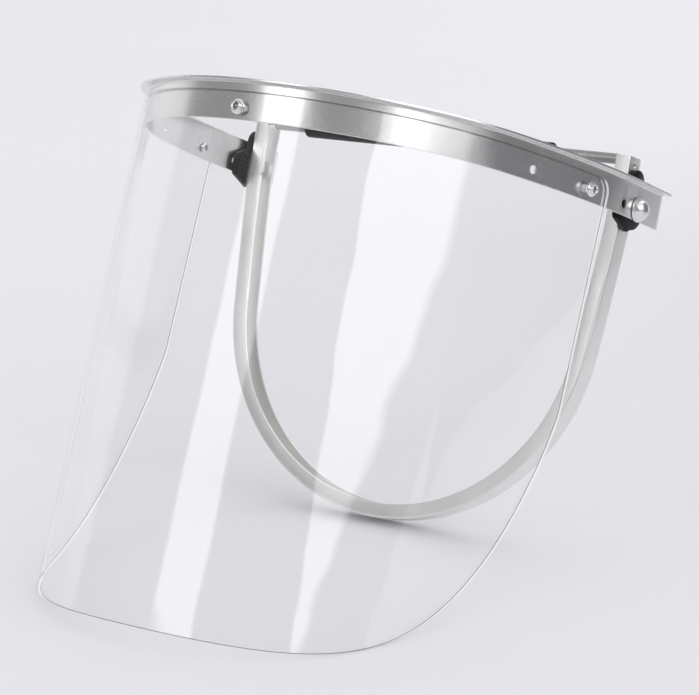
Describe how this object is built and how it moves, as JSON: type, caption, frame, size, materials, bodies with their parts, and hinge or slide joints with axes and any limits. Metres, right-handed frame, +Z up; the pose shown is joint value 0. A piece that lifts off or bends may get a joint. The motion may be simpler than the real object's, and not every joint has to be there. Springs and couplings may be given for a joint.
{
  "type": "face shield",
  "caption": "Tip-up face shield for a brimmed hard hat: a clear curved window on a bent metal visor bracket, pivoted on a brim channel closed behind the head by a spring.",
  "frame": {"origin": "centre of the footprint, on the surface that the brim channel and the window stand on", "axes": "+Z up, -Y to the front of the window, +X to the wearer-side left as seen from the front; the pivot axis runs along X"},
  "size_m": [0.2442, 0.285, 0.2404],
  "materials": {
    "bracket": "polished",
    "window": "clear, glossy",
    "rivet": "bright",
    "steel": "bright",
    "channel": "satin",
    "disc": "glossy black",
    "sleeve": "matt black"
  },
  "bodies": {
    "brim_mount": {"brim_channel": "channel", "click_disc_left": "disc", "click_disc_right": "disc", "pivot_rivet_left": "rivet", "pivot_rivet_right": "rivet", "pivot_washer_left": "steel", "pivot_washer_right": "steel", "spring": "steel", "spring_hook_left": "steel", "spring_hook_right": "steel"},
    "visor": {"visor_bracket": "bracket", "window": "window", "window_rivet_front": "rivet", "window_rivet_left": "rivet", "window_rivet_right": "rivet", "rivet_mandrel_front": "steel", "rivet_mandrel_left": "steel", "rivet_mandrel_right": "steel"},
    "spring_sleeve": {"sleeve": "sleeve"}
  },
  "joints": [
    {"name": "visor_pivot", "type": "hinge", "parent": "brim_mount", "child": "visor", "pos_m": [0, 0.11533, 0.16121], "axis": [1, 0, 0], "range_deg": [-10, 92]},
    {"name": "sleeve_slide", "type": "slide", "parent": "brim_mount", "child": "spring_sleeve", "axis": [1, 0, 0], "range_m": [-0.02, 0.036]}
  ]
}
